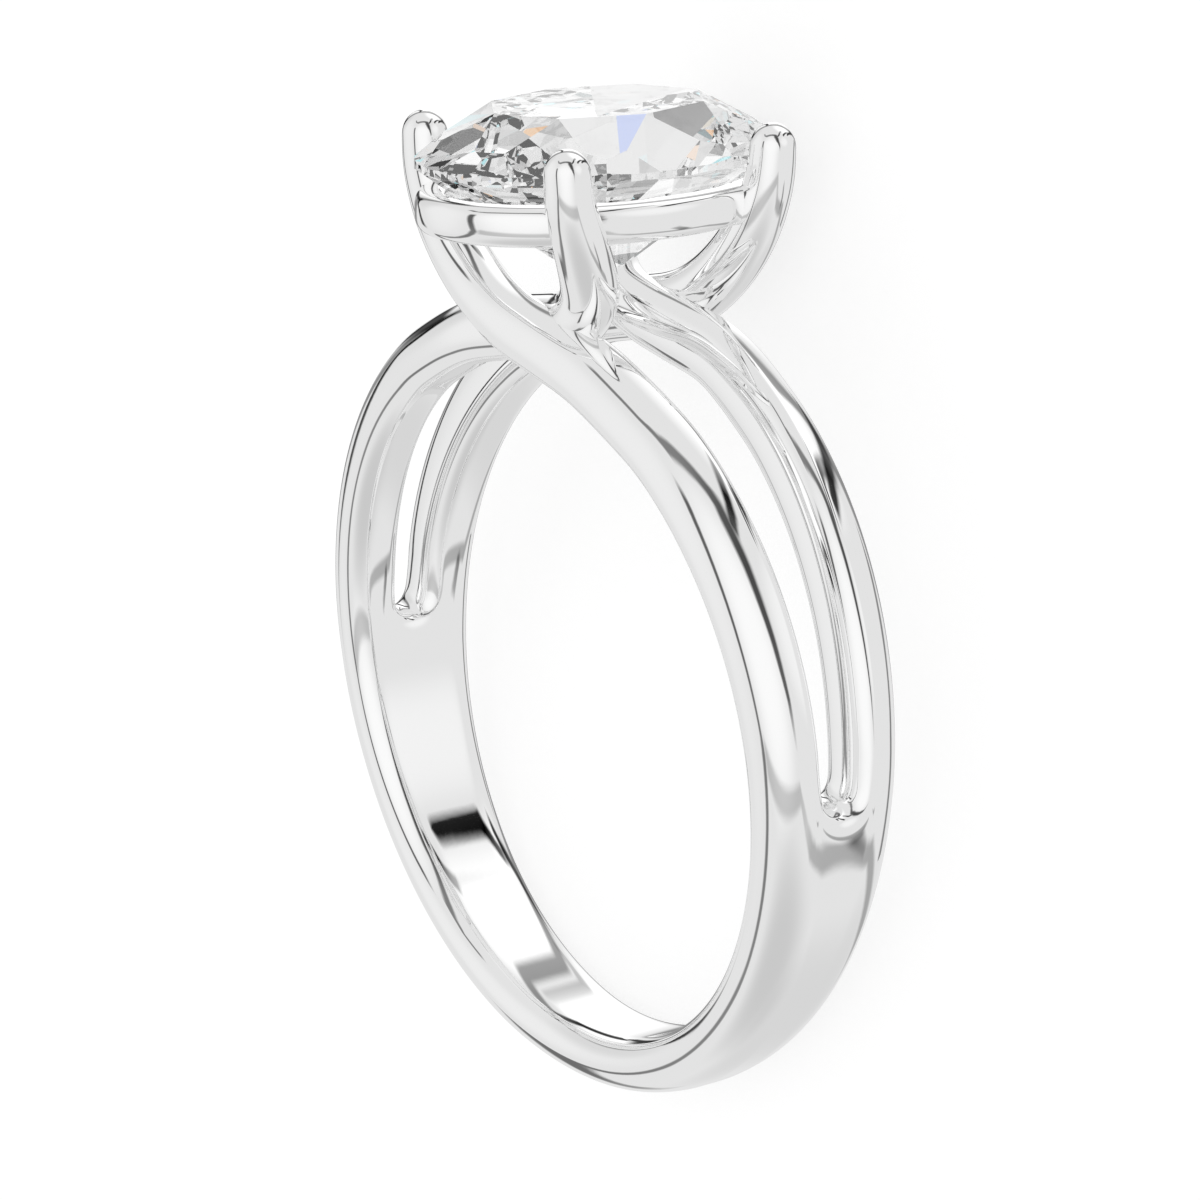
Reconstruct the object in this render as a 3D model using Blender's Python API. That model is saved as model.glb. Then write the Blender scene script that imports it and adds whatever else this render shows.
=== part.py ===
"""Split shank ring with an oval stone in four claws.

One casting in white metal carries one stone. The plain lower shank splits on both sides of the
finger into two strands. Each strand passes over the top of the finger, crosses the strand that
comes from the other side, and rises as a claw. A gallery rail under the girdle ties the claws.

The ring frame has its origin in the middle of the finger hole, X through the two split sides,
Y along the finger and Z up through the stone. Sizes are in millimetres until a mesh is made.
At the end the whole ring is laid on its side, as it would lie on a table.
"""
import math

import bmesh
import bpy
from mathutils import Matrix, Vector

MM = 0.001
GRID = 2.0 ** -28

# Finger hole and shank. Half width and depth grow from the foot of the shank to its top. Up to
# REST_ANGLE from the foot the edge is level when the ring lies on its side.
FINGER_RADIUS = 8.45
HALF_WIDTH_FOOT = 1.35
HALF_WIDTH_RISE = 0.83
HALF_WIDTH_FLARE = 0.40
REST_ANGLE = 14.5
DEPTH_FOOT = 1.43
DEPTH_RISE = 0.27

# Rounded edges of the shank, measured across (along the finger) and deep (away from it).
EDGE_IN_ACROSS = 0.66
EDGE_OUT_ACROSS = 1.10
EDGE_IN_DEEP = 0.62
SLOT_EDGE_ACROSS = 0.48
STRAND_FLAT = 0.06

# Slot between two strands: it ends in a half circle just below the middle of the side.
SLOT_END_ANGLE = 0.0
SLOT_HALF_WIDTH = 0.44
SLOT_OPENING = 0.46
SLOT_OPENING_SPAN = 55.0
SLOT_OPENING_POWER = 1.3
STRAND_LEAVES_ANGLE = 58.0

# Rise of the two strands of the right side, from where they leave the shank to the claw tip.
# Each row is the middle of a section, its width and depth, and how round it is, from 0 (edges
# of the shank) to 1 (a round wire).
OUTER_RISE = (
    # x, y, z, width, depth, round
    (2.95, -1.93, 8.84, 1.60, 1.64, 0.2),
    (1.45, -2.07, 9.28, 1.58, 1.64, 0.5),
    (0.00, -2.22, 9.62, 1.50, 1.60, 0.8),
    (-1.00, -2.38, 10.12, 1.46, 1.54, 1.0),
    (-1.86, -2.56, 10.90, 1.42, 1.46, 1.0),
    (-2.54, -2.74, 11.90, 1.34, 1.36, 1.0),
    (-2.94, -2.87, 13.00, 1.22, 1.22, 1.0),
    (-3.03, -2.91, 13.88, 1.12, 1.12, 1.0),
)
INNER_RISE = (
    # x, y, z, width, depth, round
    (2.95, 1.81, 8.84, 1.60, 1.62, 0.2),
    (1.45, 1.58, 9.26, 1.56, 1.62, 0.5),
    (0.00, 1.40, 9.56, 1.48, 1.58, 0.8),
    (-1.30, 1.46, 9.98, 1.46, 1.50, 1.0),
    (-2.36, 1.82, 10.84, 1.42, 1.44, 1.0),
    (-2.86, 2.36, 11.90, 1.34, 1.34, 1.0),
    (-3.02, 2.80, 13.00, 1.22, 1.22, 1.0),
    (-3.03, 2.91, 13.88, 1.12, 1.12, 1.0),
)

# Oval stone: a brilliant cut stretched along the finger.
STONE_HALF_WIDTH = 3.25
STONE_HALF_LENGTH = 4.69
GIRDLE_HEIGHT = 13.52
GIRDLE_DEPTH = 0.16
TABLE_HEIGHT = 14.79
CULET_HEIGHT = 10.35
TABLE_RATIO = 0.62
TABLE_INNER_RATIO = TABLE_RATIO * math.cos(math.pi / 8)
SEAT_GAP = 0.06

# Tiers of facets, for a round stone of radius 1. Each plane goes through two points, whose heights
# are shares of the crown above the girdle, or of the pavilion below it where they are negative.
FACET_TIERS = (
    # facets, turned by, first radius, first height, second radius, second height
    (8, 0.0, 1.000, 0.00, TABLE_RATIO, 1.00),
    (8, 0.5, TABLE_INNER_RATIO, 1.00, TABLE_INNER_RATIO + 0.190, 0.62),
    (16, 0.5, 1.000, 0.00, 0.791, 0.66),
    (8, 0.0, 1.000, 0.00, 0.000, -1.00),
    (16, 0.5, 1.000, 0.00, 0.220, -0.84),
)

# Gallery rail: an oval hoop close under the girdle.
RAIL_HALF_WIDTH = 3.26
RAIL_HALF_LENGTH = 4.70
RAIL_TOP = 12.97
RAIL_ACROSS = 0.55
RAIL_TALL = 0.90
RAIL_ROUNDING = 0.24

# Facets of the curved surfaces.
EDGE_STEPS = 4
SLOT_END_STEPS = 8
SHANK_STEP = 7.5
SHOULDER_ANGLE = 2.5
RISE_STEPS = 3
TIP_STEPS = 4
RAIL_STEPS = 48
STONE_STEPS = 64
MERGE_DISTANCE = 1e-7

# Finishes: colour and roughness.
METAL_COLOUR = (0.86, 0.86, 0.87, 1.0)
METAL_ROUGHNESS = 0.08
STONE_COLOUR = (0.93, 0.95, 0.97, 1.0)
STONE_ROUGHNESS = 0.02
SMOOTH_ANGLE = 35.0


def share_of_height(angle):
    """0 at the foot of the shank, 1 at its top."""
    return (1.0 + math.sin(math.radians(angle))) / 2.0


def rest_slope():
    """How far the rail stands out past the foot's edge, for each step of height between them."""
    foot = (HALF_WIDTH_FOOT, -FINGER_RADIUS - EDGE_IN_DEEP)
    rail = (RAIL_HALF_LENGTH, RAIL_TOP - RAIL_TALL + RAIL_ROUNDING)
    return (rail[0] - foot[0]) / (rail[1] - foot[1])


def half_width(angle):
    share = share_of_height(angle)
    level = min(share, share_of_height(REST_ANGLE - 90.0))
    level_rise = rest_slope() * 2 * (FINGER_RADIUS + EDGE_IN_DEEP) - HALF_WIDTH_RISE
    return (HALF_WIDTH_FOOT + HALF_WIDTH_RISE * share + HALF_WIDTH_FLARE * share ** 2
            + level_rise * level)


def depth(angle):
    return DEPTH_FOOT + DEPTH_RISE * share_of_height(angle)


def slot_half(angle):
    """Half width of the slot, opening upwards from its round end."""
    climb = min(max((angle - slot_centre_angle()) / SLOT_OPENING_SPAN, 0.0), 1.0)
    return SLOT_HALF_WIDTH + SLOT_OPENING * climb ** SLOT_OPENING_POWER


def slot_centre_angle():
    """Angle of the centre of the slot's round end."""
    return SLOT_END_ANGLE + math.degrees(SLOT_HALF_WIDTH / (FINGER_RADIUS + DEPTH_FOOT / 2))


def on_ring(angle, radius, along):
    turn = math.radians(angle)
    return Vector((radius * math.cos(turn), along, radius * math.sin(turn)))


def side_profile(deep, out_across, in_across, in_deep):
    """Edge of a section from its outer flat, round the side, to its inner flat.

    Each step is (distance in from the side, height above the inner face).
    """
    out_deep = deep - in_deep
    steps = []
    for step in range(EDGE_STEPS + 1):
        turn = math.pi / 2 * step / EDGE_STEPS
        steps.append((out_across * (1 - math.sin(turn)), in_deep + out_deep * math.cos(turn)))
    for step in range(1, EDGE_STEPS + 1):
        turn = math.pi / 2 * step / EDGE_STEPS
        steps.append((in_across * (1 - math.cos(turn)), in_deep * (1 - math.sin(turn))))
    return steps


def shank_side(angle):
    return side_profile(depth(angle), EDGE_OUT_ACROSS, EDGE_IN_ACROSS, EDGE_IN_DEEP)


def slot_side(angle):
    return side_profile(depth(angle), SLOT_EDGE_ACROSS, SLOT_EDGE_ACROSS, EDGE_IN_DEEP)


def strand_section(width, deep, roundness):
    """Closed section of a strand: points (across, up) about its middle.

    Across runs from the shank's edge (negative) to the slot (positive), up is away from the
    finger. The order is outer edge side from top to bottom, then slot side from bottom to top.
    """
    def mix(edge):
        return edge + ((width - STRAND_FLAT) / 2 - edge) * roundness

    in_deep = EDGE_IN_DEEP + (deep / 2 - EDGE_IN_DEEP) * roundness
    out_across = min(EDGE_OUT_ACROSS, width - SLOT_EDGE_ACROSS - STRAND_FLAT)
    edge = side_profile(deep, mix(out_across), mix(EDGE_IN_ACROSS), in_deep)
    slot = side_profile(deep, mix(SLOT_EDGE_ACROSS), mix(SLOT_EDGE_ACROSS), in_deep)
    points = [(-width / 2 + across, up - deep / 2) for across, up in edge]
    points += [(width / 2 - across, up - deep / 2) for across, up in reversed(slot)]
    return points


def spline(points, steps):
    """Smooth curve through points, each a tuple of numbers: a Catmull-Rom spline."""
    curve = []
    last = len(points) - 1
    for i in range(last):
        before, start, end, after = (points[max(i - 1, 0)], points[i], points[i + 1],
                                     points[min(i + 2, last)])
        for step in range(steps):
            t = step / steps
            curve.append(tuple(
                0.5 * (2 * b + (c - a) * t + (2 * a - 5 * b + 4 * c - d) * t ** 2
                       + (3 * b - 3 * c + d - a) * t ** 3)
                for a, b, c, d in zip(before, start, end, after)))
    curve.append(points[-1])
    return curve


def shank_row(angle, hand):
    """Middle and size of a strand's section while it still follows the shank."""
    width = half_width(angle) - slot_half(angle)
    middle = on_ring(angle, FINGER_RADIUS + depth(angle) / 2,
                     hand * (slot_half(angle) + width / 2))
    return (*middle, width, depth(angle), 0.0)


def strand_rings(rise, hand):
    """Sections of one strand from its claw's root on the shank to the claw's tip.

    hand is -1 for the strand at negative Y and 1 for the other. Returns lists of points.
    """
    angles = []
    angle = slot_centre_angle()
    while angle < STRAND_LEAVES_ANGLE:
        angles.append(angle)
        angle += SHANK_STEP
    rings = []
    for angle in angles:
        middle = Vector(shank_row(angle, hand)[:3])
        up = on_ring(angle, 1.0, 0.0)
        rings.append(place_section(middle, Vector((0, -hand, 0)), up, *shank_row(angle, hand)[3:]))
    start = [shank_row(angles[-2], hand), shank_row(angles[-1], hand)]
    rows = spline(start + list(rise), RISE_STEPS)[RISE_STEPS:]
    up = on_ring(angles[-1], 1.0, 0.0)
    for i in range(1, len(rows)):
        here = Vector(rows[i][:3])
        ahead = Vector(rows[min(i + 1, len(rows) - 1)][:3])
        tangent = (ahead - Vector(rows[i - 1][:3])).normalized()
        up = (up - tangent * up.dot(tangent)).normalized()
        across = tangent.cross(up) * hand
        rings.append(place_section(here, -across, up, *rows[i][3:]))
    tip_radius = rows[-1][3] / 2
    for step in range(1, TIP_STEPS):
        turn = math.pi / 2 * step / TIP_STEPS
        middle = here + tangent * tip_radius * math.sin(turn)
        size = 2 * tip_radius * math.cos(turn)
        rings.append(place_section(middle, -across, up, size, size, 1.0))
    return rings, here + tangent * tip_radius


def place_section(middle, across, up, width, deep, roundness):
    return [middle + across * a + up * u for a, u in strand_section(width, deep, roundness)]


def skin(mesh, rings, closed=True):
    """Faces between rings of vertices that have the same number of points."""
    for one, two in zip(rings, rings[1:]):
        count = len(one)
        for i in range(count if closed else count - 1):
            j = (i + 1) % count
            mesh.faces.new((one[i], one[j], two[j], two[i]))


def snapped(point):
    """A point in metres on a very fine grid, so that the two halves meet exactly at the foot."""
    return Vector(tuple(round(value * MM / GRID) * GRID for value in point))


def half_ring():
    """Right half of the casting: half the lower shank, its slot end and two strands."""
    mesh = bmesh.new()

    def vertices(points):
        return [mesh.verts.new(snapped(point)) for point in points]

    side_count = 2 * EDGE_STEPS + 1
    first = {}
    for hand, rise in ((-1, OUTER_RISE), (1, INNER_RISE)):
        points, tip = strand_rings(rise, hand)
        rings = [vertices(ring) for ring in points]
        skin(mesh, rings)
        pole = mesh.verts.new(snapped(tip))
        last = rings[-1]
        for i in range(len(last)):
            mesh.faces.new((last[i], last[(i + 1) % len(last)], pole))
        first[hand] = rings[0]

    # Round end of the slot, from the left strand's slot side to the right strand's.
    centre = slot_centre_angle()
    left_slot = list(reversed(first[-1][side_count:]))
    right_slot = list(reversed(first[1][side_count:]))
    chains = [left_slot]
    for step in range(1, SLOT_END_STEPS):
        turn = math.pi * step / SLOT_END_STEPS
        chain = []
        for inset, height in slot_side(centre):
            reach = SLOT_HALF_WIDTH + inset
            radius = FINGER_RADIUS + height
            angle = centre - math.degrees(reach * math.sin(turn) / (FINGER_RADIUS + DEPTH_FOOT / 2))
            chain.append(on_ring(angle, radius, -reach * math.cos(turn)))
        chains.append(vertices(chain))
    chains.append(right_slot)
    skin(mesh, chains, closed=False)

    # Lower shank, from just under the slot to the foot, with as many points across each flat
    # as the slot's end has.
    reach = math.degrees((SLOT_HALF_WIDTH + SLOT_EDGE_ACROSS) / (FINGER_RADIUS + DEPTH_FOOT / 2))
    top = centre - reach - SHOULDER_ANGLE
    count = math.ceil((top + 90.0) / SHANK_STEP)
    bands = []
    for step in range(count + 1):
        angle = top + (-90.0 - top) * step / count
        half = half_width(angle)
        side = shank_side(angle)
        left = [on_ring(angle, FINGER_RADIUS + up, -half + inset) for inset, up in side]
        right = [on_ring(angle, FINGER_RADIUS + up, half - inset) for inset, up in reversed(side)]
        under = across_points(left[-1], right[0])
        over = across_points(right[-1], left[0])
        bands.append(vertices(left + under + right + over))
    skin(mesh, bands)
    mesh.faces.new(bands[-1])

    # Shoulder between the strands, the slot's end and the lower shank.
    band = bands[0]
    flat = SLOT_END_STEPS - 1
    left = band[:side_count]
    under = [left[-1]] + band[side_count:side_count + flat] + [band[side_count + flat]]
    right = list(reversed(band[side_count + flat:2 * side_count + flat]))
    over = [right[0]] + band[2 * side_count + flat:] + [left[0]]
    over.reverse()
    skin(mesh, [first[-1][:side_count], left], closed=False)
    skin(mesh, [right, first[1][:side_count]], closed=False)
    skin(mesh, [[chain[0] for chain in chains], over], closed=False)
    skin(mesh, [under, [chain[-1] for chain in chains]], closed=False)
    mesh.faces.new((first[-1][0], left[0], chains[0][0]))
    mesh.faces.new((first[-1][side_count - 1], left[-1], chains[0][-1]))
    mesh.faces.new((first[1][0], right[0], chains[-1][0]))
    mesh.faces.new((first[1][side_count - 1], right[-1], chains[-1][-1]))
    bmesh.ops.recalc_face_normals(mesh, faces=mesh.faces)
    return mesh


def across_points(start, end):
    """Points between two edges of a flat, at equal steps."""
    return [start.lerp(end, step / SLOT_END_STEPS) for step in range(1, SLOT_END_STEPS)]


def new_object(name, mesh, collection):
    data = bpy.data.meshes.new(name)
    mesh.to_mesh(data)
    mesh.free()
    made = bpy.data.objects.new(name, data)
    collection.objects.link(made)
    return made


def rail_mesh():
    """Oval hoop of rounded rectangular section."""
    mesh = bmesh.new()
    half_across = RAIL_ACROSS / 2
    half_tall = RAIL_TALL / 2
    section = []
    for corner, (sign_a, sign_z) in enumerate(((1, 1), (-1, 1), (-1, -1), (1, -1))):
        for step in range(EDGE_STEPS):
            turn = math.pi / 2 * (corner + step / (EDGE_STEPS - 1))
            section.append((sign_a * (half_across - RAIL_ROUNDING) + RAIL_ROUNDING * math.cos(turn),
                            sign_z * (half_tall - RAIL_ROUNDING) + RAIL_ROUNDING * math.sin(turn)))
    rings = []
    for step in range(RAIL_STEPS):
        turn = 2 * math.pi * step / RAIL_STEPS
        ring = []
        for across, up in section:
            ring.append(mesh.verts.new(Vector((
                (RAIL_HALF_WIDTH - half_across + across) * math.cos(turn),
                (RAIL_HALF_LENGTH - half_across + across) * math.sin(turn),
                RAIL_TOP - half_tall + up)) * MM))
        rings.append(ring)
    skin(mesh, rings + [rings[0]])
    bmesh.ops.recalc_face_normals(mesh, faces=mesh.faces)
    return mesh


def stone_mesh(grow=0.0):
    """Brilliant cut from a block by the planes of its facets, then stretched to the oval.

    The planes are worked out for a round stone of radius 1 at unit girdle height 0. grow makes
    a larger copy that cuts the claws' seats.
    """
    crown = TABLE_HEIGHT - GIRDLE_HEIGHT - GIRDLE_DEPTH
    pavilion = GIRDLE_HEIGHT - CULET_HEIGHT
    mesh = bmesh.new()
    bmesh.ops.create_cone(mesh, cap_ends=True, segments=STONE_STEPS, radius1=1.0, radius2=1.0,
                          depth=2 * (crown + pavilion))

    def cut(point, normal):
        geometry = mesh.verts[:] + mesh.edges[:] + mesh.faces[:]
        result = bmesh.ops.bisect_plane(mesh, geom=geometry, dist=MERGE_DISTANCE,
                                        plane_co=point, plane_no=normal, clear_outer=True)
        edges = [item for item in result["geom_cut"] if isinstance(item, bmesh.types.BMEdge)]
        if edges:
            bmesh.ops.edgeloop_fill(mesh, edges=edges)

    cut(Vector((0, 0, GIRDLE_DEPTH + crown)), Vector((0, 0, 1)))
    for count, turned, first_radius, first_height, second_radius, second_height in FACET_TIERS:
        if second_height > 0:
            first_height = GIRDLE_DEPTH + crown * first_height
            second_height = GIRDLE_DEPTH + crown * second_height
        else:
            first_height *= pavilion
            second_height *= pavilion
        for facet in range(count):
            turn = 2 * math.pi * (facet + turned) / count
            outward = Vector((math.cos(turn), math.sin(turn), 0))
            along = Vector((-outward.y, outward.x, 0))
            first = outward * first_radius + Vector((0, 0, first_height))
            second = outward * second_radius + Vector((0, 0, second_height))
            normal = (second - first).cross(along).normalized()
            if normal.dot(outward) < 0:
                normal.negate()
            cut(first, normal)

    for vert in mesh.verts:
        vert.co.x *= STONE_HALF_WIDTH
        vert.co.y *= STONE_HALF_LENGTH
        vert.co.z += GIRDLE_HEIGHT
    if grow:
        middle = GIRDLE_HEIGHT + GIRDLE_DEPTH / 2
        for vert in mesh.verts:
            vert.co.x *= 1 + grow / STONE_HALF_WIDTH
            vert.co.y *= 1 + grow / STONE_HALF_LENGTH
            vert.co.z = middle + (vert.co.z - middle) * (1 + grow) + math.copysign(
                grow, vert.co.z - middle)
    for vert in mesh.verts:
        vert.co *= MM
    bmesh.ops.remove_doubles(mesh, verts=mesh.verts, dist=MERGE_DISTANCE)
    bmesh.ops.recalc_face_normals(mesh, faces=mesh.faces)
    return mesh


def material(name, colour, metallic, roughness):
    made = bpy.data.materials.new(name)
    made.use_nodes = True
    shader = made.node_tree.nodes["Principled BSDF"]
    shader.inputs["Base Color"].default_value = colour
    shader.inputs["Metallic"].default_value = metallic
    shader.inputs["Roughness"].default_value = roughness
    return made


def boolean(target, cutter, operation):
    modifier = target.modifiers.new(f"{operation.lower()} {cutter.name}", "BOOLEAN")
    modifier.object = cutter
    modifier.operation = operation
    modifier.solver = "EXACT"


def lie_turn():
    """Turn about X that lays the foot's edge and the rail's end on one level."""
    return math.atan(rest_slope()) - math.pi / 2


def lay_down(lie, pieces):
    """Turn the ring on its side, with the middle of its box over the origin."""
    lie.rotation_euler = (lie_turn(), 0, 0)
    turn = lie.rotation_euler.to_matrix()
    depsgraph = bpy.context.evaluated_depsgraph_get()
    points = []
    for piece in pieces:
        shape = piece.evaluated_get(depsgraph).to_mesh()
        points += [turn @ vert.co for vert in shape.vertices]
    low = [min(point[axis] for point in points) for axis in range(3)]
    high = [max(point[axis] for point in points) for axis in range(3)]
    lie.location = (-(low[0] + high[0]) / 2, -(low[1] + high[1]) / 2, -low[2])


def main():
    for item in list(bpy.data.objects):
        bpy.data.objects.remove(item)
    parts = bpy.data.collections.new("split_shank_ring")
    cutters = bpy.data.collections.new("cutters")
    bpy.context.scene.collection.children.link(parts)
    bpy.context.scene.collection.children.link(cutters)

    metal = new_object("ring_metal", half_ring(), parts)
    other = half_ring()
    half_turn = Matrix.Diagonal((-1, -1, 1, 1))
    other.transform(half_turn)
    other_half = new_object("other_half", other, cutters)
    rail = new_object("rail_guide", rail_mesh(), cutters)
    seat = new_object("stone_seat", stone_mesh(SEAT_GAP), cutters)
    boolean(metal, other_half, "UNION")
    boolean(metal, rail, "UNION")
    boolean(metal, seat, "DIFFERENCE")
    stone = new_object("oval_stone", stone_mesh(), parts)

    metal.data.materials.append(material("white metal", METAL_COLOUR, 1.0, METAL_ROUGHNESS))
    stone.data.materials.append(material("clear stone", STONE_COLOUR, 0.0, STONE_ROUGHNESS))
    metal.data.shade_smooth()
    metal.data.set_sharp_from_angle(angle=math.radians(SMOOTH_ANGLE))
    for cutter in (other_half, rail, seat):
        cutter.hide_render = True
        cutter.display_type = "WIRE"

    lie = bpy.data.objects.new("lie", None)
    parts.objects.link(lie)
    lay_down(lie, (metal, stone))
    for item in (metal, stone, other_half, rail, seat):
        item.parent = lie


main()
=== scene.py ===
import math

import bmesh
import bpy
from mathutils import Matrix, Vector


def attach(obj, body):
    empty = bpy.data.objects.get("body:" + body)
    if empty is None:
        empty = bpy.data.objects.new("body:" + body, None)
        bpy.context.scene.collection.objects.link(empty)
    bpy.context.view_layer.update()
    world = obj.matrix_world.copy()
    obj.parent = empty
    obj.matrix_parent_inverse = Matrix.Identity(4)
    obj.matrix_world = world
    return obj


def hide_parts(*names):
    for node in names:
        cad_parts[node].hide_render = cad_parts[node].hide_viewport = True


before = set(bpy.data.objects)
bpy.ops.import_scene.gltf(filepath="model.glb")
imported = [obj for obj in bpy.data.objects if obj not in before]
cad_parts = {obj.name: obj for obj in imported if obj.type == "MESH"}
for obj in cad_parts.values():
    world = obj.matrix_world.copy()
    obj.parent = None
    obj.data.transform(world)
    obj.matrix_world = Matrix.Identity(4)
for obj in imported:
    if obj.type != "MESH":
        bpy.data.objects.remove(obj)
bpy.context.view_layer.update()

MM = 0.001

# The ring is modelled upright in millimetres: X through the split sides, Y along the finger, Z up
# through the stone. It is then laid on its side, where the CAD model lies.
FINGER_RADIUS = 8.45
HALF_WIDTH_FOOT = 1.35
HALF_WIDTH_RISE = 0.83
HALF_WIDTH_FLARE = 0.40
REST_ANGLE = 14.5
DEPTH_FOOT = 1.43
DEPTH_RISE = 0.27
EDGE_IN_ACROSS = 0.66
EDGE_OUT_ACROSS = 1.10
EDGE_IN_DEEP = 0.62
SLOT_EDGE_ACROSS = 0.48
STRAND_FLAT = 0.06
SLOT_END_ANGLE = 0.0
SLOT_HALF_WIDTH = 0.38
SLOT_OPENING = 0.52
SLOT_OPENING_SPAN = 55.0
SLOT_OPENING_POWER = 1.3
STRAND_LEAVES_ANGLE = 58.0
RING_CENTRE = (0.0, -2.629, 2.7378)

OUTER_RISE = (
    # x, y, z, width, depth, round
    (2.95, -1.93, 8.84, 1.60, 1.64, 0.2),
    (1.45, -2.07, 9.28, 1.58, 1.64, 0.5),
    (0.00, -2.22, 9.62, 1.50, 1.60, 0.8),
    (-1.00, -2.38, 10.12, 1.46, 1.54, 1.0),
    (-1.86, -2.56, 10.90, 1.42, 1.46, 1.0),
    (-2.54, -2.74, 11.90, 1.34, 1.36, 1.0),
    (-2.94, -2.87, 13.00, 1.22, 1.22, 1.0),
    (-3.03, -2.91, 13.88, 1.12, 1.12, 1.0),
)
INNER_RISE = (
    # x, y, z, width, depth, round
    (2.95, 1.81, 8.84, 1.60, 1.62, 0.2),
    (1.45, 1.58, 9.26, 1.56, 1.62, 0.5),
    (0.00, 1.40, 9.56, 1.48, 1.58, 0.8),
    (-1.30, 1.46, 9.98, 1.46, 1.50, 1.0),
    (-2.36, 1.82, 10.84, 1.42, 1.44, 1.0),
    (-2.86, 2.36, 11.90, 1.34, 1.34, 1.0),
    (-3.02, 2.80, 13.00, 1.22, 1.22, 1.0),
    (-3.03, 2.91, 13.88, 1.12, 1.12, 1.0),
)

STONE_HALF_WIDTH = 3.25
STONE_HALF_LENGTH = 4.69
GIRDLE_HEIGHT = 13.52
GIRDLE_DEPTH = 0.16
TABLE_HEIGHT = 14.79
CULET_HEIGHT = 10.35
TABLE_RATIO = 0.62
TABLE_INNER_RATIO = TABLE_RATIO * math.cos(math.pi / 8)
SEAT_GAP = 0.03
FACET_TIERS = (
    # facets, turned by, first radius, first height, second radius, second height
    (8, 0.0, 1.000, 0.00, TABLE_RATIO, 1.00),
    (8, 0.5, TABLE_INNER_RATIO, 1.00, TABLE_INNER_RATIO + 0.190, 0.62),
    (16, 0.5, 1.000, 0.00, 0.791, 0.66),
    (8, 0.0, 1.000, 0.00, 0.000, -1.00),
    (16, 0.5, 1.000, 0.00, 0.220, -0.84),
)

RAIL_HALF_WIDTH = 3.26
RAIL_HALF_LENGTH = 4.70
RAIL_TOP = 12.97
RAIL_ACROSS = 0.80
# The rail's lower edge in the solid sets how the ring lies. The wire that shows is a little taller.
RAIL_TALL = 0.90
RAIL_WIRE_TALL = 0.96
RAIL_ROUNDING = 0.24

EDGE_STEPS = 4
SLOT_END_STEPS = 8
SHANK_STEP = 7.5
SHOULDER_ANGLE = 2.5
FOOT_OVERLAP = 3
RISE_STEPS = 3
TIP_STEPS = 6
RAIL_STEPS = 128
RAIL_SECTION_STEPS = 32
RAIL_SQUARENESS = 0.68
STONE_STEPS = 96
METAL_LEVEL = 2
WELD_DISTANCE = 0.001
FACET_TOLERANCE = 1e-6
FOOT_CUT_TOLERANCE = 1e-7
POLISH_SHARE = 0.5
SLOT_POLISH_REACH = 1.25
SLOT_POLISH_PASSES = 16
TIP_POLISH_HEIGHT = 14.1
TIP_POLISH_PASSES = 3
SMOOTH_ANGLE = math.radians(30)

# Finish, in millimetres and in the shader's own values.
METAL_COLOUR = (0.97, 0.97, 0.97, 1.0)
STONE_COLOUR = (1.0, 1.0, 1.0, 1.0)
STONE_IOR = 2.42
NOISE_DETAIL = 3.0
NOISE_LOW = 0.3
NOISE_HIGH = 0.7
POLISH_PATCH = 1.5
POLISH_ROUGHNESS = (0.020, 0.050)
RIPPLE_SIZE = 0.9
RIPPLE_DEPTH = 0.004
RIPPLE_STRENGTH = 0.12
TINT_PATCH = 1.2
STONE_TINTS = ((0.985, 0.985, 0.985, 1.0), (1.0, 1.0, 1.0, 1.0))


# The studio is a white tent with dark gaps between its panels. Directions are seen from the upright
# ring, in degrees: turn about Z from X, and height above the horizon. Each gap is one long strip.
TENT_RADIUS = 0.6
TENT_LIGHT = 0.79
GAP_CORE = 0.30
GAP_SPREAD = 1.5
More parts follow.
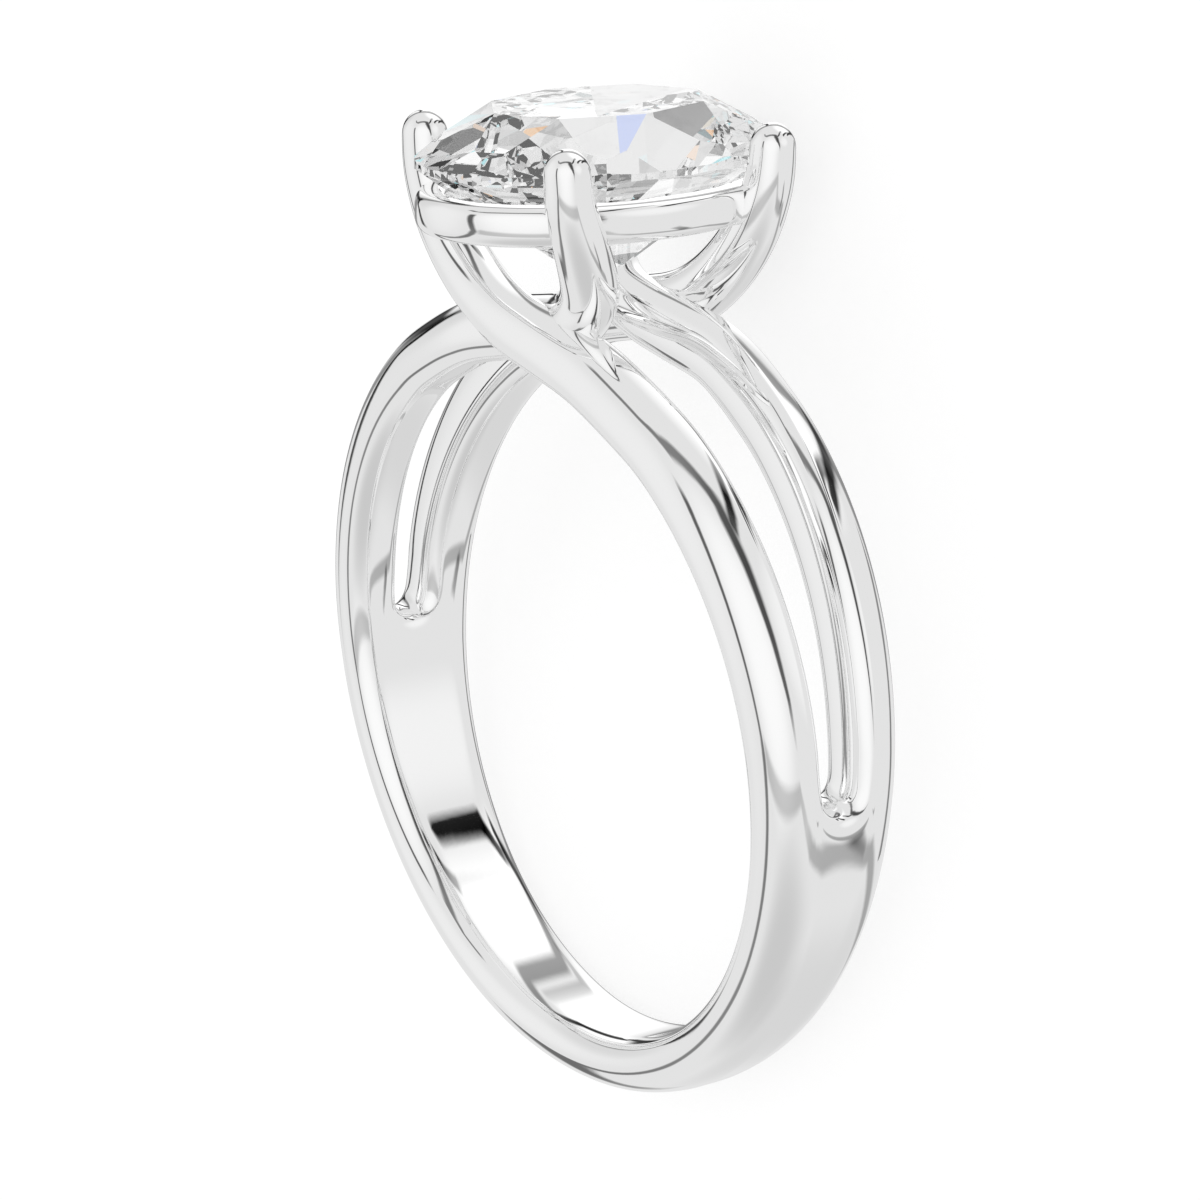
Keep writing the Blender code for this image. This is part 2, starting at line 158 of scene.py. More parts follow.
# turn, height, radius, half width, darkness
RIM = (145.5, 17.0, 33.0, 5.0, 0.65)
RIM_STEPS = 36
DARK_GAPS = (
    # (turn, height, half width, darkness) along the strip
    ((-116, 56, 2.2, 0.0), (-110, 54, 2.4, 0.75), (-98, 50, 2.8, 0.75), (-84, 52, 4.5, 0.72),
     (-70, 59, 4.5, 0.72), (-50, 63, 4.0, 0.75), (-28, 63, 4.5, 0.82), (-14, 57, 9.0, 0.88),
     (-8, 42, 7.5, 0.92), (-4, 22, 5.0, 0.90), (-1, 8, 3.0, 0.85), (0, -5, 1.6, 0.0)),
    ((0, 50, 2.4, 0.0), (3, 53, 3.0, 0.88), (18, 57, 3.2, 0.97), (28, 60, 3.0, 0.99),
     (38, 62, 3.0, 0.75), (51, 62, 3.6, 0.6), (64, 60, 3.6, 0.55), (72, 60, 3.0, 0.0)),
    ((41, 41, 2.0, 0.0), (44, 44, 3.2, 0.98), (52, 46, 3.4, 1.0), (60, 45, 3.2, 0.97),
     (72, 42, 2.8, 0.9), (80, 38, 2.6, 0.85), (88, 31, 2.4, 0.5), (92, 26, 2.0, 0.0)),
    ((64, 33, 1.8, 0.0), (72, 33, 2.8, 0.95), (88, 28, 3.2, 0.98), (98, 21, 3.4, 0.92),
     (108, 14, 4.0, 0.85), (118, 9, 4.6, 0.75)),
    ((-88, 32, 2.2, 0.0), (-88, 26, 3.2, 0.86), (-87, -2, 3.2, 0.86), (-85, -16, 3.2, 0.76),
     (-97, -30, 3.2, 0.76), (-118, -41, 3.2, 0.70), (-142, -42, 3.2, 0.72),
     (-158, -35, 3.2, 0.80), (-180, -45, 3.2, 0.80), (160, -49, 3.0, 0.6), (145, -47, 2.4, 0.0)),
    ((-180, 20, 2.0, 0.0), (-180, 15, 2.6, 0.97), (-180, -3, 2.6, 0.97), (-166, -16, 2.6, 0.90),
     (-160, -20, 3.0, 0.0)),
    ((178, 8, 4.0, 0.92), (164, 3, 4.6, 0.92), (158, -2, 4.6, 0.96), (152, -1, 3.4, 0.92)),
    ((154, 3, 2.4, 0.95), (154, 27, 2.4, 0.99), (162, 42, 3.0, 0.85), (166, 48, 3.0, 0.0)),
    ((-84, -17, 3.5, 0.0), (-78, -17, 3.5, 0.36), (0, -17, 3.5, 0.34), (10, -26, 2.4, 0.25),
     (18, -31, 2.6, 0.42), (60, -31, 2.6, 0.50), (112, -34, 2.6, 0.45), (120, -36, 2.4, 0.0)),
    ((36, -19, 2.0, 0.0), (38, -22, 2.4, 0.50), (46, -30, 2.6, 0.72), (50, -32, 2.4, 0.0)),
    ((106, 1, 4.5, 0.7), (94, -5, 4.5, 0.7), (88, -14, 4.5, 0.75), (92, -29, 4.5, 0.7)),
    ((116, 33, 3.8, 0.0), (120, 33, 4.0, 0.35), (138, 36, 4.0, 0.35), (144, 37, 3.8, 0.0)),
)
CARD_TINTS = {
    "grey": (0.06, 0.06, 0.06, 1.0),
    "cyan": (0.50, 0.92, 0.98, 1.0),
    "blue": (0.48, 0.58, 0.95, 1.0),
    "orange": (0.95, 0.58, 0.32, 1.0),
}
STONE_CARDS = (
    # turn, height, half size, strength, tint: cards that only the stone shows
    (17, 66, 8, 0.85, "grey"),
    (50, 47, 7, 0.75, "grey"),
    (35, -35, 6, 0.7, "grey"),
    (35, 2, 5, 0.8, "grey"),
    (-100, 42, 8, 0.6, "grey"),
    (-158, -18, 6, 0.75, "grey"),
    (-150, 33, 8, 0.8, "grey"),
    (62, 24, 6, 0.8, "grey"),
    (148, 16, 6, 0.7, "grey"),
    (-42, 46, 6, 0.6, "grey"),
    (28, 50, 8, 1.0, "cyan"),
    (5, 68, 5, 1.0, "blue"),
    (45, 66, 5, 1.0, "cyan"),
    (-172, 8, 6, 1.0, "cyan"),
    (-158, 5, 4, 1.0, "orange"),
    (133, -22, 2.5, 0.7, "blue"),
    (127, -24, 2.5, 0.7, "cyan"),
    (165, -24, 5, 0.9, "blue"),
    (140, 8, 3, 1.0, "orange"),
    (48, 12, 6, 1.0, "orange"),
    (-30, -25, 7, 1.0, "cyan"),
    (-60, 12, 6, 1.0, "orange"),
    (60, 5, 6, 1.0, "cyan"),
)
PANELS = (
    # turn, height, half width, light added or taken off
    (145, 16, 26, 0.45),
    (-45, 12, 50, 0.20),
    (95, 52, 34, 0.34),
    (28, 22, 24, 0.13),
    (-125, 8, 42, 0.08),
    (-172, 20, 30, -0.08),
    (-30, -65, 42, -0.19),
    (100, -58, 34, -0.10),
)
FLOOR_SIZE = 4.0
FLOOR_COLOUR = (0.42, 0.42, 0.42, 1.0)
FLOOR_ROUGHNESS = 0.6
FLOOR_SHEEN = 0.1
FLOOR_GLOW = 0.68

# Camera beside the upright ring, in millimetres, and its lens.
CAMERA_EYE = (79.89, -54.85, 32.24)
CAMERA_LOOK = (-0.78772, 0.54158, -0.29358)
CAMERA_SENSOR = 36.0
CAMERA_LENS = 124.35
CAMERA_NEAR = 5.0
LIGHT_BOUNCES = 18
MIRROR_BOUNCES = 11


def rest_slope():
    foot = (HALF_WIDTH_FOOT, -FINGER_RADIUS - EDGE_IN_DEEP)
    rail = (RAIL_HALF_LENGTH, RAIL_TOP - RAIL_TALL + RAIL_ROUNDING)
    return (rail[0] - foot[0]) / (rail[1] - foot[1])


LIE = (Matrix.Translation(Vector(RING_CENTRE) * MM)
       @ Matrix.Rotation(math.atan(rest_slope()) - math.pi / 2, 4, "X"))


def share_of_height(angle):
    """0 at the foot of the shank, 1 at its top."""
    return (1.0 + math.sin(math.radians(angle))) / 2.0


def half_width(angle):
    share = share_of_height(angle)
    level = min(share, share_of_height(REST_ANGLE - 90.0))
    level_rise = rest_slope() * 2 * (FINGER_RADIUS + EDGE_IN_DEEP) - HALF_WIDTH_RISE
    return (HALF_WIDTH_FOOT + HALF_WIDTH_RISE * share + HALF_WIDTH_FLARE * share ** 2
            + level_rise * level)


def depth(angle):
    return DEPTH_FOOT + DEPTH_RISE * share_of_height(angle)


def slot_centre_angle():
    return SLOT_END_ANGLE + math.degrees(SLOT_HALF_WIDTH / (FINGER_RADIUS + DEPTH_FOOT / 2))


def slot_half(angle):
    climb = min(max((angle - slot_centre_angle()) / SLOT_OPENING_SPAN, 0.0), 1.0)
    return SLOT_HALF_WIDTH + SLOT_OPENING * climb ** SLOT_OPENING_POWER


def on_ring(angle, radius, along):
    turn = math.radians(angle)
    return Vector((radius * math.cos(turn), along, radius * math.sin(turn)))


def side_profile(deep, out_across, in_across, in_deep):
    """Edge of a section from its outer flat, round the side, to its inner flat."""
    out_deep = deep - in_deep
    steps = []
    for step in range(EDGE_STEPS + 1):
        turn = math.pi / 2 * step / EDGE_STEPS
        steps.append((out_across * (1 - math.sin(turn)), in_deep + out_deep * math.cos(turn)))
    for step in range(1, EDGE_STEPS + 1):
        turn = math.pi / 2 * step / EDGE_STEPS
        steps.append((in_across * (1 - math.cos(turn)), in_deep * (1 - math.sin(turn))))
    return steps


def shank_side(angle):
    return side_profile(depth(angle), EDGE_OUT_ACROSS, EDGE_IN_ACROSS, EDGE_IN_DEEP)


def slot_side(angle):
    return side_profile(depth(angle), SLOT_EDGE_ACROSS, SLOT_EDGE_ACROSS, EDGE_IN_DEEP)


def strand_section(width, deep, roundness):
    """Section of a strand: points (across, up) about its middle, from edge side to slot side."""
    out_across = min(EDGE_OUT_ACROSS, width - SLOT_EDGE_ACROSS - STRAND_FLAT)
    edge = side_profile(deep, out_across, EDGE_IN_ACROSS, EDGE_IN_DEEP)
    slot = side_profile(deep, SLOT_EDGE_ACROSS, SLOT_EDGE_ACROSS, EDGE_IN_DEEP)
    flat = [(-width / 2 + across, up - deep / 2) for across, up in edge]
    flat += [(width / 2 - across, up - deep / 2) for across, up in reversed(slot)]
    points = []
    for i, (across, up) in enumerate(flat):
        turn = math.pi / 2 + 2 * math.pi * (i + 0.5) / len(flat)
        points.append((across + (math.cos(turn) * width / 2 - across) * roundness,
                       up + (math.sin(turn) * deep / 2 - up) * roundness))
    return points


def spline(points, steps):
    """Smooth curve through points, each a tuple of numbers."""
    curve = []
    last = len(points) - 1
    for i in range(last):
        before, start, end, after = (points[max(i - 1, 0)], points[i], points[i + 1],
                                     points[min(i + 2, last)])
        for step in range(steps):
            t = step / steps
            curve.append(tuple(
                0.5 * (2 * b + (c - a) * t + (2 * a - 5 * b + 4 * c - d) * t ** 2
                       + (3 * b - 3 * c + d - a) * t ** 3)
                for a, b, c, d in zip(before, start, end, after)))
    curve.append(points[-1])
    return curve


def place_section(middle, across, up, width, deep, roundness):
    return [middle + across * a + up * u for a, u in strand_section(width, deep, roundness)]


def shank_row(angle, hand):
    width = half_width(angle) - slot_half(angle)
    middle = on_ring(angle, FINGER_RADIUS + depth(angle) / 2,
                     hand * (slot_half(angle) + width / 2))
    return (*middle, width, depth(angle), 0.0)


def strand_rings(rise, hand):
    """Sections of one strand, from the slot's end along the shank and up to the claw's tip."""
    angles = []
    angle = slot_centre_angle()
    while angle < STRAND_LEAVES_ANGLE:
        angles.append(angle)
        angle += SHANK_STEP
    rings = []
    for angle in angles:
        row = shank_row(angle, hand)
        rings.append(place_section(Vector(row[:3]), Vector((0, -hand, 0)),
                                   on_ring(angle, 1.0, 0.0), *row[3:]))
    start = [shank_row(angles[-2], hand), shank_row(angles[-1], hand)]
    rows = spline(start + list(rise), RISE_STEPS)[RISE_STEPS:]
    up = on_ring(angles[-1], 1.0, 0.0)
    for i in range(1, len(rows)):
        here = Vector(rows[i][:3])
        ahead = Vector(rows[min(i + 1, len(rows) - 1)][:3])
        tangent = (ahead - Vector(rows[i - 1][:3])).normalized()
        up = (up - tangent * up.dot(tangent)).normalized()
        across = tangent.cross(up) * hand
        rings.append(place_section(here, -across, up, *rows[i][3:]))
    tip_radius = rows[-1][3] / 2
    for step in range(1, TIP_STEPS):
        turn = math.pi / 2 * step / TIP_STEPS
        middle = here + tangent * tip_radius * math.sin(turn)
        size = 2 * tip_radius * math.cos(turn)
        rings.append(place_section(middle, -across, up, size, size, 1.0))
    return rings, here + tangent * tip_radius


def skin(mesh, rings, closed=True):
    for one, two in zip(rings, rings[1:]):
        count = len(one)
        for i in range(count if closed else count - 1):
            j = (i + 1) % count
            mesh.faces.new((one[i], one[j], two[j], two[i]))


def across_points(start, end):
    return [start.lerp(end, step / SLOT_END_STEPS) for step in range(1, SLOT_END_STEPS)]


def half_cage():
    """Cage of half the casting: half the lower shank, the slot's end and two strands."""
    mesh = bmesh.new()

    def vertices(points):
        return [mesh.verts.new(point * MM) for point in points]

    side_count = 2 * EDGE_STEPS + 1
    first = {}
    for hand, rise in ((-1, OUTER_RISE), (1, INNER_RISE)):
        points, tip = strand_rings(rise, hand)
        rings = [vertices(ring) for ring in points]
        skin(mesh, rings)
        pole = mesh.verts.new(tip * MM)
        last = rings[-1]
        for i in range(len(last)):
            mesh.faces.new((last[i], last[(i + 1) % len(last)], pole))
        first[hand] = rings[0]

    centre = slot_centre_angle()
    left_slot = list(reversed(first[-1][side_count:]))
    right_slot = list(reversed(first[1][side_count:]))
    chains = [left_slot]
    for step in range(1, SLOT_END_STEPS):
        turn = math.pi * step / SLOT_END_STEPS
        chain = []
        for inset, height in slot_side(centre):
            reach = SLOT_HALF_WIDTH + inset
            radius = FINGER_RADIUS + height
            angle = centre - math.degrees(reach * math.sin(turn) / (FINGER_RADIUS + DEPTH_FOOT / 2))
            chain.append(on_ring(angle, radius, -reach * math.cos(turn)))
        chains.append(vertices(chain))
    chains.append(right_slot)
    skin(mesh, chains, closed=False)

    reach = math.degrees((SLOT_HALF_WIDTH + SLOT_EDGE_ACROSS) / (FINGER_RADIUS + DEPTH_FOOT / 2))
    top = centre - reach - SHOULDER_ANGLE
    count = math.ceil((top + 90.0) / SHANK_STEP)
    bands = []
    for step in range(count + 1 + FOOT_OVERLAP):
        angle = top + (-90.0 - top) * step / count
        half = half_width(angle)
        side = shank_side(angle)
        left = [on_ring(angle, FINGER_RADIUS + up, -half + inset) for inset, up in side]
        right = [on_ring(angle, FINGER_RADIUS + up, half - inset) for inset, up in reversed(side)]
        under = across_points(left[-1], right[0])
        over = across_points(right[-1], left[0])
        bands.append(vertices(left + under + right + over))
    skin(mesh, bands)
    mesh.faces.new(bands[-1])

    band = bands[0]
    flat = SLOT_END_STEPS - 1
    left = band[:side_count]
    under = [left[-1]] + band[side_count:side_count + flat] + [band[side_count + flat]]
    right = list(reversed(band[side_count + flat:2 * side_count + flat]))
    over = [right[0]] + band[2 * side_count + flat:] + [left[0]]
    over.reverse()
    skin(mesh, [first[-1][:side_count], left], closed=False)
    skin(mesh, [right, first[1][:side_count]], closed=False)
    skin(mesh, [[chain[0] for chain in chains], over], closed=False)
    skin(mesh, [under, [chain[-1] for chain in chains]], closed=False)
    mesh.faces.new((first[-1][0], left[0], chains[0][0]))
    mesh.faces.new((first[-1][side_count - 1], left[-1], chains[0][-1]))
    mesh.faces.new((first[1][0], right[0], chains[-1][0]))
    mesh.faces.new((first[1][side_count - 1], right[-1], chains[-1][-1]))
    bmesh.ops.recalc_face_normals(mesh, faces=mesh.faces)
    return mesh


def select_only(item):
    bpy.ops.object.select_all(action="DESELECT")
    item.select_set(True)
    bpy.context.view_layer.objects.active = item


def apply_modifier(item, kind, **values):
    select_only(item)
    modifier = item.modifiers.new(kind.lower(), kind)
    for name, value in values.items():
        setattr(modifier, name, value)
    bpy.ops.object.modifier_apply(modifier=modifier.name)


def remove(item):
    data = item.data
    bpy.data.objects.remove(item)
    bpy.data.meshes.remove(data)


def place(item):
    """Lay a finished piece where the CAD model lies, with its place in its mesh."""
    item.data.transform(LIE)
    item.data.update()


def stone_shape(name, grow=0.0):
    """Oval brilliant, cut from a cylinder facet by facet."""
    crown = TABLE_HEIGHT - GIRDLE_HEIGHT - GIRDLE_DEPTH
    pavilion = GIRDLE_HEIGHT - CULET_HEIGHT
    bpy.ops.object.select_all(action="DESELECT")
    bpy.ops.mesh.primitive_cylinder_add(vertices=STONE_STEPS, radius=1.0,
                                        depth=2 * (crown + pavilion))
    stone = bpy.context.object
    stone.name = name
    stone.data.name = name
    bpy.ops.object.mode_set(mode="EDIT")

    def cut(point, normal):
        bpy.ops.mesh.select_all(action="SELECT")
        bpy.ops.mesh.bisect(plane_co=point, plane_no=normal, use_fill=True, clear_outer=True,
                            threshold=FACET_TOLERANCE)

    cut(Vector((0, 0, GIRDLE_DEPTH + crown)), Vector((0, 0, 1)))
    for count, turned, first_radius, first_height, second_radius, second_height in FACET_TIERS:
        if second_height > 0:
            first_height = GIRDLE_DEPTH + crown * first_height
            second_height = GIRDLE_DEPTH + crown * second_height
        else:
            first_height *= pavilion
            second_height *= pavilion
        for facet in range(count):
            turn = 2 * math.pi * (facet + turned) / count
            outward = Vector((math.cos(turn), math.sin(turn), 0))
            along = Vector((-outward.y, outward.x, 0))
            first = outward * first_radius + Vector((0, 0, first_height))
            second = outward * second_radius + Vector((0, 0, second_height))
            normal = (second - first).cross(along).normalized()
            if normal.dot(outward) < 0:
                normal.negate()
            cut(first, normal)
    bpy.ops.mesh.select_all(action="SELECT")
    bpy.ops.mesh.remove_doubles(threshold=FACET_TOLERANCE)
    bpy.ops.mesh.normals_make_consistent(inside=False)
    bpy.ops.object.mode_set(mode="OBJECT")
    middle = GIRDLE_DEPTH / 2
    for vert in stone.data.vertices:
        x, y, z = vert.co
        side = math.copysign(grow, z - middle)
        vert.co = (x * (STONE_HALF_WIDTH + grow) * MM, y * (STONE_HALF_LENGTH + grow) * MM,
                   (GIRDLE_HEIGHT + z + side) * MM)
    return stone


def rail_shape():
    """Oval hoop of a well rounded section."""
    mesh = bmesh.new()
    half_across = RAIL_ACROSS / 2
    half_tall = RAIL_WIRE_TALL / 2
    section = []
    for step in range(RAIL_SECTION_STEPS):
        turn = 2 * math.pi * step / RAIL_SECTION_STEPS
        section.append(tuple(half * math.copysign(abs(part) ** RAIL_SQUARENESS, part) for half, part
                             in ((half_across, math.cos(turn)), (half_tall, math.sin(turn)))))
    rings = []
    for step in range(RAIL_STEPS):
        turn = 2 * math.pi * step / RAIL_STEPS
        ring = []
        for across, up in section:
            ring.append(mesh.verts.new(Vector((
                (RAIL_HALF_WIDTH - half_across + across) * math.cos(turn),
                (RAIL_HALF_LENGTH - half_across + across) * math.sin(turn),
                RAIL_TOP - half_tall + up)) * MM))
        rings.append(ring)
    skin(mesh, rings + [rings[0]])
    bmesh.ops.recalc_face_normals(mesh, faces=mesh.faces)
    return from_mesh("gallery_rail", mesh)


def from_mesh(name, mesh):
    data = bpy.data.meshes.new(name)
    mesh.to_mesh(data)
    mesh.free()
    made = bpy.data.objects.new(name, data)
    bpy.context.scene.collection.objects.link(made)
    return made


def casting():
    """The whole casting: two equal halves, the rail that ties the claws, and the stone's seat."""
    ring = from_mesh("polished_ring", half_cage())
    apply_modifier(ring, "SUBSURF", levels=METAL_LEVEL, render_levels=METAL_LEVEL)
    bpy.ops.object.mode_set(mode="EDIT")
    bpy.ops.mesh.select_all(action="SELECT")
    bpy.ops.mesh.bisect(plane_co=(0, 0, 0), plane_no=(-1, 0, 0), use_fill=False,
                        threshold=FOOT_CUT_TOLERANCE)
    bpy.ops.object.mode_set(mode="OBJECT")
    shape = bmesh.new()
    shape.from_mesh(ring.data)
    past = [face for face in shape.faces
            if face.calc_center_median().x < 0 and face.calc_center_median().z < 0]
    bmesh.ops.delete(shape, geom=past, context="FACES")
    slot_end = on_ring(slot_centre_angle(), FINGER_RADIUS + DEPTH_FOOT / 2, 0.0) * MM
    near = [vert for vert in shape.verts if (vert.co - slot_end).length < SLOT_POLISH_REACH * MM]
    tips = [vert for vert in shape.verts if vert.co.z > TIP_POLISH_HEIGHT * MM]
    for verts, passes in ((near, SLOT_POLISH_PASSES), (tips, TIP_POLISH_PASSES)):
        for _ in range(passes):
            bmesh.ops.smooth_vert(shape, verts=verts, factor=POLISH_SHARE, use_axis_x=True,
                                  use_axis_y=True, use_axis_z=True)
    copied = bmesh.ops.duplicate(shape, geom=shape.verts[:] + shape.edges[:] + shape.faces[:])
    turned = [part for part in copied["geom"] if isinstance(part, bmesh.types.BMVert)]
    bmesh.ops.transform(shape, matrix=Matrix.Diagonal((-1, -1, 1, 1)), verts=turned)
    foot = [vert for vert in shape.verts if vert.is_boundary]
    bmesh.ops.remove_doubles(shape, verts=foot, dist=WELD_DISTANCE * MM)
    bmesh.ops.recalc_face_normals(shape, faces=shape.faces)
    shape.to_mesh(ring.data)
    shape.free()
    rail = rail_shape()
    seat = stone_shape("seat", SEAT_GAP)
    apply_modifier(ring, "BOOLEAN", object=rail, operation="UNION", solver="EXACT", use_self=True)
    apply_modifier(ring, "BOOLEAN", object=seat, operation="DIFFERENCE", solver="EXACT")
    remove(rail)
    remove(seat)
    select_only(ring)
    bpy.ops.object.shade_smooth_by_angle(angle=SMOOTH_ANGLE)
    place(ring)
    return ring


def new_material(name, colour, metallic, roughness):
    made = bpy.data.materials.new(name)
    made.use_nodes = True
    shader = made.node_tree.nodes["Principled BSDF"]
    shader.inputs["Base Color"].default_value = colour
    shader.inputs["Metallic"].default_value = metallic
    shader.inputs["Roughness"].default_value = roughness
    return made, shader


def textured(nodes, link, size, low, high):
    """Fine uneven value between two limits, from the piece's own coordinates."""
    own = nodes.new("ShaderNodeTexCoord")
    noise = nodes.new("ShaderNodeTexNoise")
    noise.inputs["Scale"].default_value = 1.0 / (size * MM)
    noise.inputs["Detail"].default_value = NOISE_DETAIL
    limits = nodes.new("ShaderNodeMapRange")
    limits.inputs["From Min"].default_value = NOISE_LOW
    limits.inputs["From Max"].default_value = NOISE_HIGH
    limits.inputs["To Min"].default_value = low
    limits.inputs["To Max"].default_value = high
    link(own.outputs["Object"], noise.inputs["Vector"])
    link(noise.outputs["Fac"], limits.inputs["Value"])
    return limits.outputs[0]


def hand_polish(made, shader):
    """Polish that is a little uneven, with the faintest ripple left by the buffing wheel."""
    nodes, link = made.node_tree.nodes, made.node_tree.links.new
    link(textured(nodes, link, POLISH_PATCH, *POLISH_ROUGHNESS), shader.inputs["Roughness"])
    ripple = nodes.new("ShaderNodeBump")
    ripple.inputs["Strength"].default_value = RIPPLE_STRENGTH
    ripple.inputs["Distance"].default_value = RIPPLE_DEPTH * MM
    link(textured(nodes, link, RIPPLE_SIZE, 0.0, 1.0), ripple.inputs["Height"])
    link(ripple.outputs["Normal"], shader.inputs["Normal"])


def natural_tint(made, shader):
    """Clear crystal with the faintest uneven tint."""
    nodes, link = made.node_tree.nodes, made.node_tree.links.new
    tint = nodes.new("ShaderNodeMix")
    tint.data_type = "RGBA"
    tint.inputs["A"].default_value = STONE_TINTS[0]
    tint.inputs["B"].default_value = STONE_TINTS[1]
    link(textured(nodes, link, TINT_PATCH, 0.0, 1.0), tint.inputs["Factor"])
    link(tint.outputs["Result"], shader.inputs["Base Color"])


def clear_of_metal(made, shader):
    """Reflections in the metal pass straight through the stone, so that they stay clean."""
    nodes, link = made.node_tree.nodes, made.node_tree.links.new
    path = nodes.new("ShaderNodeLightPath")
    outside = nodes.new("ShaderNodeMath")
    outside.operation = "LESS_THAN"
    outside.inputs[1].default_value = 0.5
    share = nodes.new("ShaderNodeMath")
    share.operation = "MULTIPLY"
    through = nodes.new("ShaderNodeBsdfTransparent")
    mix = nodes.new("ShaderNodeMixShader")
    link(path.outputs["Transmission Depth"], outside.inputs[0])
    link(outside.outputs[0], share.inputs[0])
    link(path.outputs["Is Glossy Ray"], share.inputs[1])
    link(share.outputs[0], mix.inputs["Fac"])
    link(shader.outputs[0], mix.inputs[1])
    link(through.outputs[0], mix.inputs[2])
    link(mix.outputs[0], nodes["Material Output"].inputs["Surface"])


def direction(turn, height):
    turn, height = math.radians(turn), math.radians(height)
    return Vector((math.cos(height) * math.cos(turn), math.cos(height) * math.sin(turn),
                   math.sin(height)))


def flag_material(name, colour):
    """Black or tinted cloth whose edges fade out, as a gap between two soft panels looks."""
    made = bpy.data.materials.new(name)
    made.use_nodes = True
    nodes, link = made.node_tree.nodes, made.node_tree.links.new
    nodes.clear()
    end = nodes.new("ShaderNodeOutputMaterial")
    mix = nodes.new("ShaderNodeMixShader")
    clear = nodes.new("ShaderNodeBsdfTransparent")
    cloth = nodes.new("ShaderNodeEmission")
    cloth.inputs["Color"].default_value = colour
    across = nodes.new("ShaderNodeAttribute")
    across.attribute_name = "across"
    dark = nodes.new("ShaderNodeAttribute")
    dark.attribute_name = "dark"
    fade = nodes.new("ShaderNodeMapRange")
    fade.interpolation_type = "SMOOTHSTEP"
    fade.inputs["From Min"].default_value = 1.0
    fade.inputs["From Max"].default_value = GAP_CORE
    away = nodes.new("ShaderNodeMath")
    away.operation = "ABSOLUTE"
    opacity = nodes.new("ShaderNodeMath")
    opacity.operation = "MULTIPLY"
    link(across.outputs["Fac"], away.inputs[0])
    link(away.outputs[0], fade.inputs["Value"])
    link(fade.outputs[0], opacity.inputs[0])
    link(dark.outputs["Fac"], opacity.inputs[1])
    link(opacity.outputs[0], mix.inputs["Fac"])
    link(clear.outputs[0], mix.inputs[1])
    link(cloth.outputs[0], mix.inputs[2])
    link(mix.outputs[0], end.inputs["Surface"])
    return made


def gap_strip(name, rows, finish, in_stone):
    """A strip on the tent's sphere, seen only in reflections or only through the stone."""
    mesh = bmesh.new()
    across = mesh.verts.layers.float.new("across")
    dark = mesh.verts.layers.float.new("dark")
    points = [direction(turn, height) for turn, height, _, _ in rows]
    lines = []
    for i, (_, _, width, darkness) in enumerate(rows):
        ahead = points[min(i + 1, len(rows) - 1)] - points[max(i - 1, 0)]
        side = points[i].cross(ahead).normalized() * math.tan(math.radians(width * GAP_SPREAD))
        line = []
        for share in (-1.0, 0.0, 1.0):
            vert = mesh.verts.new((points[i] + side * share).normalized() * TENT_RADIUS)
            vert[across] = share
            vert[dark] = darkness
            line.append(vert)
        lines.append(line)
    skin(mesh, lines, closed=False)
    strip = from_mesh(name, mesh)
    strip.data.transform(LIE)
    strip.data.materials.append(finish)
    strip.visible_camera = False
    strip.visible_diffuse = False
    strip.visible_shadow = False
    strip.visible_glossy = not in_stone
    strip.visible_transmission = in_stone


def rim_rows():
    """Dark ring round the bright panel across from the camera, which draws the metal's edges."""
    turn, height, radius, width, darkness = RIM
    middle = direction(turn, height)
    side = middle.cross(Vector((0, 0, 1))).normalized()
    rows = []
    for step in range(RIM_STEPS + 1):
        spin = 2 * math.pi * step / RIM_STEPS
        away = side * math.cos(spin) + side.cross(middle) * math.sin(spin)
        point = middle * math.cos(math.radians(radius)) + away * math.sin(math.radians(radius))
        rows.append((math.degrees(math.atan2(point.y, point.x)),
                     math.degrees(math.asin(point.z)), width, darkness))
    return rows


def tent():
    """World light: white panels all round, a little brighter or dimmer here and there."""
    world = bpy.data.worlds.new("studio tent")
    world.use_nodes = True
    nodes, link = world.node_tree.nodes, world.node_tree.links.new
    back = nodes["Background"]
    sky = nodes.new("ShaderNodeTexCoord")
    light = None
    for turn, height, width, added in PANELS:
        towards = nodes.new("ShaderNodeVectorMath")
        towards.operation = "DOT_PRODUCT"
        link(sky.outputs["Generated"], towards.inputs[0])
        towards.inputs[1].default_value = LIE.to_3x3() @ direction(turn, height)
        glow = nodes.new("ShaderNodeMapRange")
        glow.interpolation_type = "SMOOTHSTEP"
        glow.inputs["From Min"].default_value = math.cos(math.radians(width))
        glow.inputs["From Max"].default_value = 1.0
        glow.inputs["To Max"].default_value = added
        link(towards.outputs["Value"], glow.inputs["Value"])
        total = nodes.new("ShaderNodeMath")
        total.operation = "ADD"
        link(glow.outputs[0], total.inputs[0])
        if light is None:
            total.inputs[1].default_value = TENT_LIGHT
        else:
            link(light, total.inputs[1])
        light = total.outputs[0]
    link(light, back.inputs["Strength"])
    back.inputs["Color"].default_value = (1.0, 1.0, 1.0, 1.0)
    black = flag_material("tent gap", (0.0, 0.0, 0.0, 1.0))
    for i, rows in enumerate((*DARK_GAPS, rim_rows())):
        gap_strip(f"tent_gap_{i + 1}", rows, black, False)
    tints = {name: flag_material(f"{name} card", colour) for name, colour in CARD_TINTS.items()}
    for i, (turn, height, half, strength, tint) in enumerate(STONE_CARDS):
        rows = ((turn, height - half, half, strength), (turn, height + half, half, strength))
        gap_strip(f"stone_card_{i + 1}", rows, tints[tint], True)
    return world


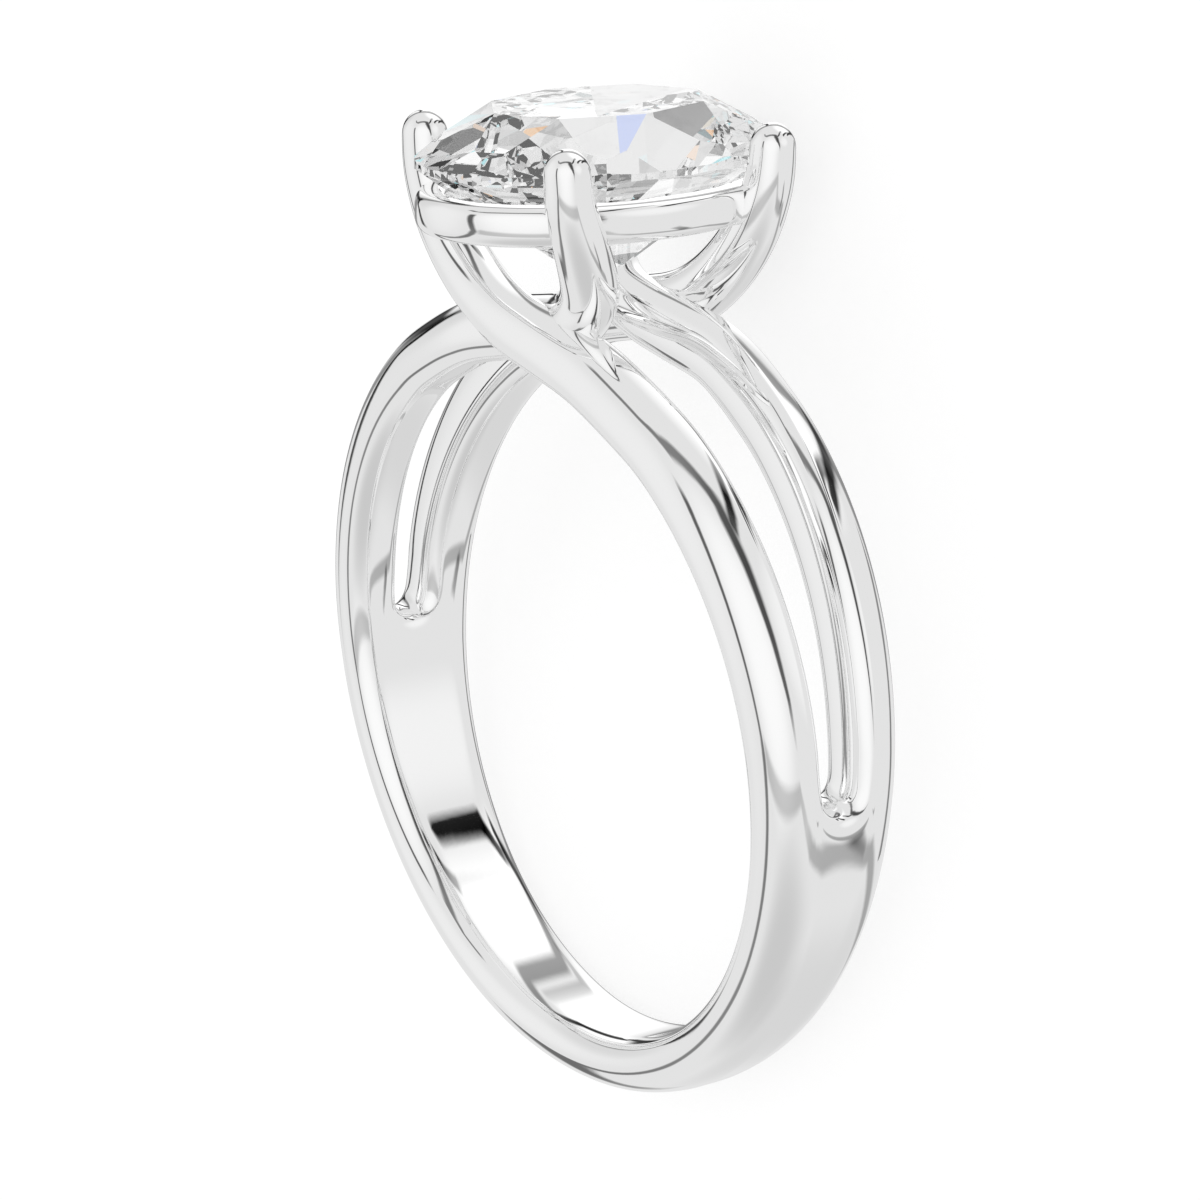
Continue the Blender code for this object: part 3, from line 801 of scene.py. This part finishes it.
def studio():
    """Camera at the photograph's angle, a pale floor and soft light from all round."""
    eye = Vector(CAMERA_EYE) * MM
    look = Vector(CAMERA_LOOK).normalized()
    right = look.cross(Vector((0, 0, 1))).normalized()
    up = right.cross(look)
    turn = Matrix((right, up, -look)).transposed().to_4x4()
    turn.translation = eye
    lens = bpy.data.cameras.new("camera")
    lens.sensor_width = CAMERA_SENSOR
    lens.lens = CAMERA_LENS
    lens.clip_start = CAMERA_NEAR * MM
    camera = bpy.data.objects.new("camera", lens)
    bpy.context.scene.collection.objects.link(camera)
    camera.matrix_world = LIE @ turn
    bpy.context.scene.camera = camera

    bpy.ops.object.select_all(action="DESELECT")
    bpy.ops.mesh.primitive_plane_add(size=FLOOR_SIZE)
    floor = bpy.context.object
    floor.name = "floor"
    pale, shader = new_material("pale floor", FLOOR_COLOUR, 0.0, FLOOR_ROUGHNESS)
    shader.inputs["Specular IOR Level"].default_value = FLOOR_SHEEN
    shader.inputs["Emission Color"].default_value = (1.0, 1.0, 1.0, 1.0)
    shader.inputs["Emission Strength"].default_value = FLOOR_GLOW
    floor.data.materials.append(pale)
    floor.visible_glossy = False
    floor.visible_transmission = False

    bpy.context.scene.world = tent()
    bpy.context.scene.cycles.max_bounces = LIGHT_BOUNCES
    bpy.context.scene.cycles.glossy_bounces = MIRROR_BOUNCES
    bpy.context.scene.cycles.transmission_bounces = LIGHT_BOUNCES
    bpy.context.scene.view_settings.view_transform = "Standard"


ring = casting()
metal, metal_shader = new_material("polished white metal", METAL_COLOUR, 1.0, POLISH_ROUGHNESS[1])
hand_polish(metal, metal_shader)
ring.data.materials.clear()
ring.data.materials.append(metal)
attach(ring, "root")
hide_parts("ring_metal")
ring.visible_transmission = False

stone = stone_shape("cut_stone")
place(stone)
glass, glass_shader = new_material("clear stone", STONE_COLOUR, 0.0, 0.0)
glass_shader.inputs["Transmission Weight"].default_value = 1.0
glass_shader.inputs["IOR"].default_value = STONE_IOR
natural_tint(glass, glass_shader)
clear_of_metal(glass, glass_shader)
stone.data.materials.append(glass)
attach(stone, "root")
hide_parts("oval_stone")

studio()
